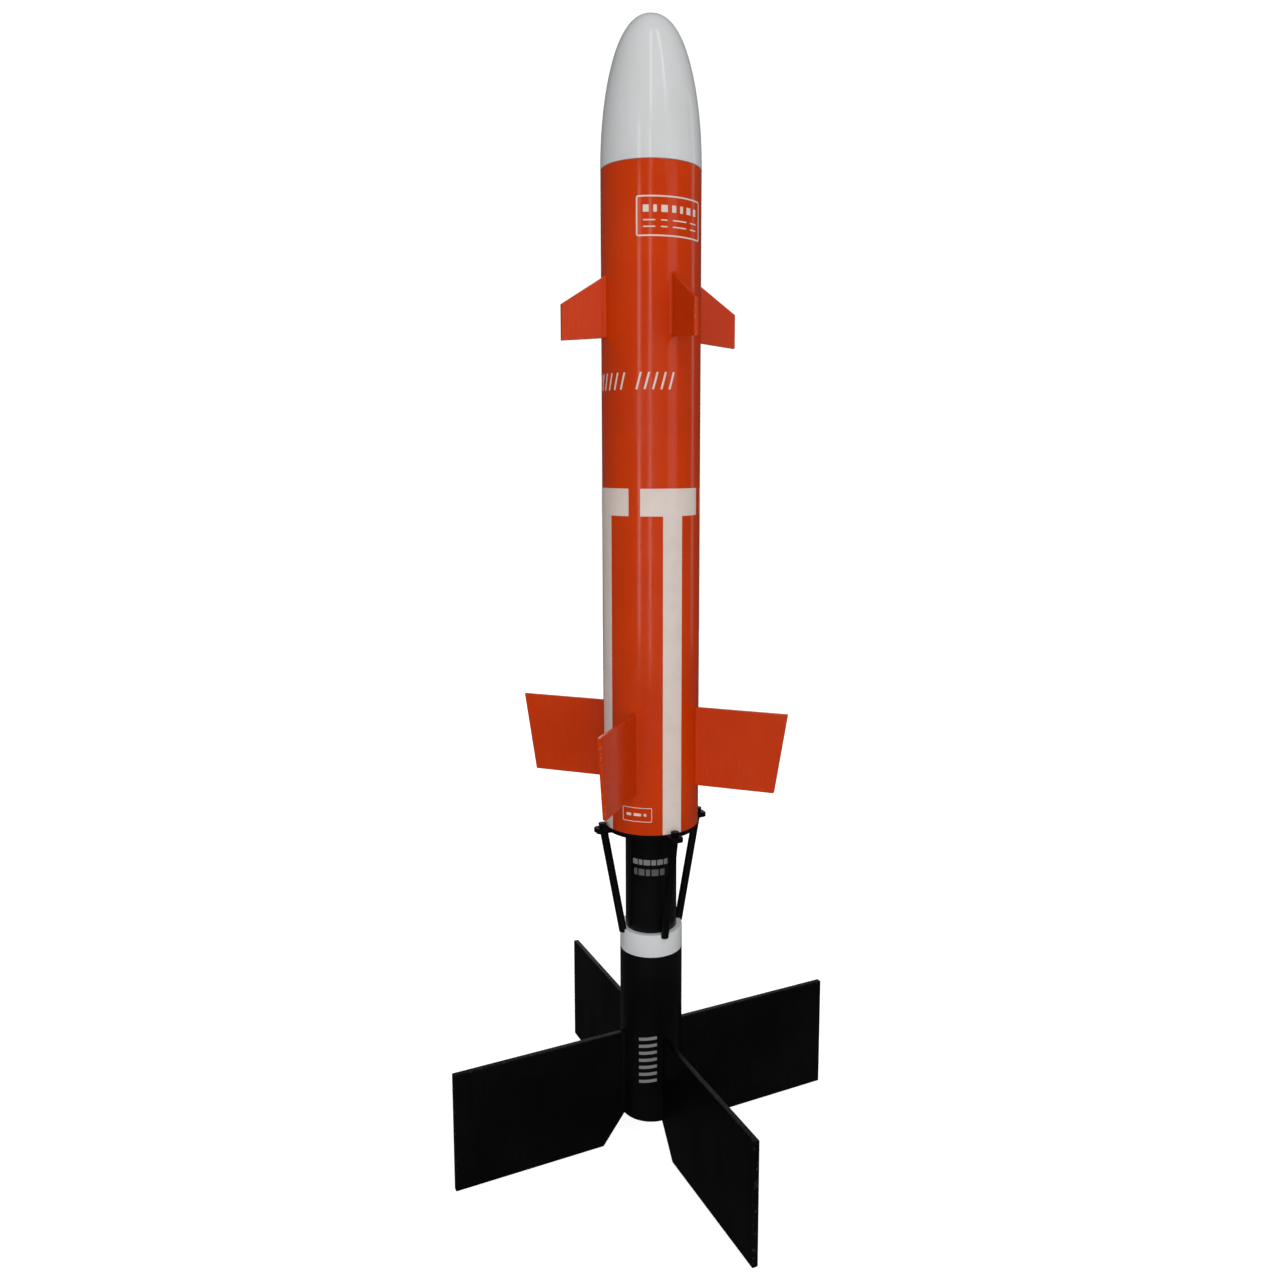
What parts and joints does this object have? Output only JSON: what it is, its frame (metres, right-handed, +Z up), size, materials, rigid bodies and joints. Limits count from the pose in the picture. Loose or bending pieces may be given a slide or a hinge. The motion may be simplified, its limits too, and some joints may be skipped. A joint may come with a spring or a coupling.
{
  "type": "model rocket",
  "caption": "Tall model rocket with a wide finned upper body, a strutted stuffer-tube waist, a finned booster and a nose cone that lifts off.",
  "frame": {"origin": "on the floor under the rocket's axis, where the booster fins' lower edges stand", "axes": "+Z up the rocket's axis to the nose tip; +X and +Y along two booster fins"},
  "size_m": [0.337, 0.337, 0.8872],
  "materials": {
    "white_plastic": "gloss",
    "plywood": "matte",
    "zinc_steel": "satin",
    "ballast_clay": "matte",
    "orange_tube": "gloss",
    "orange_wood": "gloss",
    "white_vinyl": "satin",
    "black_tube": "satin",
    "black_wood": "satin",
    "black_fin": "satin",
    "white_wood": "satin",
    "kraft_tube": "matte",
    "retainer_black": "satin",
    "anodised_cap": "satin",
    "motor_paper": "matte",
    "nozzle_clay": "matte",
    "propellant": "matte",
    "delay_charge": "matte",
    "cap_plastic": "gloss",
    "parachute_nylon": "satin",
    "wadding_cloth": "matte"
  },
  "bodies": {
    "airframe": {"body_tube": "orange_tube", "tee_stripes": "white_vinyl", "body_ring_front": "plywood", "body_ring_middle": "plywood", "body_ring_rear": "plywood", "stuffer_tube": "black_tube", "strut_plate": "black_wood", "booster_collar": "white_wood", "booster_tube": "black_tube", "booster_ring_front": "plywood", "booster_ring_rear": "plywood", "launch_lug_upper": "orange_tube", "launch_lug_lower": "orange_tube", "motor_mount_tube": "kraft_tube", "motor_ring_front": "plywood", "motor_ring_rear": "plywood", "retainer_body": "retainer_black", "parachute": "parachute_nylon", "wadding": "wadding_cloth", "shock_cord_mount": "kraft_tube", "canard_1": "orange_wood", "wing_1": "orange_wood", "strut_1": "black_wood", "booster_fin_1": "black_fin", "canard_2": "orange_wood", "wing_2": "orange_wood", "strut_2": "black_wood", "booster_fin_2": "black_fin", "canard_3": "orange_wood", "wing_3": "orange_wood", "strut_3": "black_wood", "booster_fin_3": "black_fin", "canard_4": "orange_wood", "wing_4": "orange_wood", "strut_4": "black_wood", "booster_fin_4": "black_fin"},
    "nose": {"nose_cone": "white_plastic", "nose_bulkhead": "plywood", "nose_eye_bolt": "zinc_steel", "nose_eye_nuts": "zinc_steel", "nose_weight": "ballast_clay"},
    "motor": {"motor_case": "motor_paper", "motor_nozzle": "nozzle_clay", "propellant_grain": "propellant", "delay_grain": "delay_charge", "ejection_cap": "cap_plastic"},
    "cap": {"retainer_cap": "anodised_cap"}
  },
  "joints": [
    {"name": "nose_lift", "type": "slide", "parent": "airframe", "child": "nose", "axis": [0, 0, 1], "range_m": [0, 0.085]},
    {"name": "motor_slide", "type": "slide", "parent": "airframe", "child": "motor", "axis": [0, 0, -1], "range_m": [0, 0.13]},
    {"name": "cap_twist", "type": "hinge", "parent": "motor", "child": "cap", "pos_m": [0, 0, 0.022], "axis": [0, 0, 1], "range_deg": [0, 450]}
  ]
}
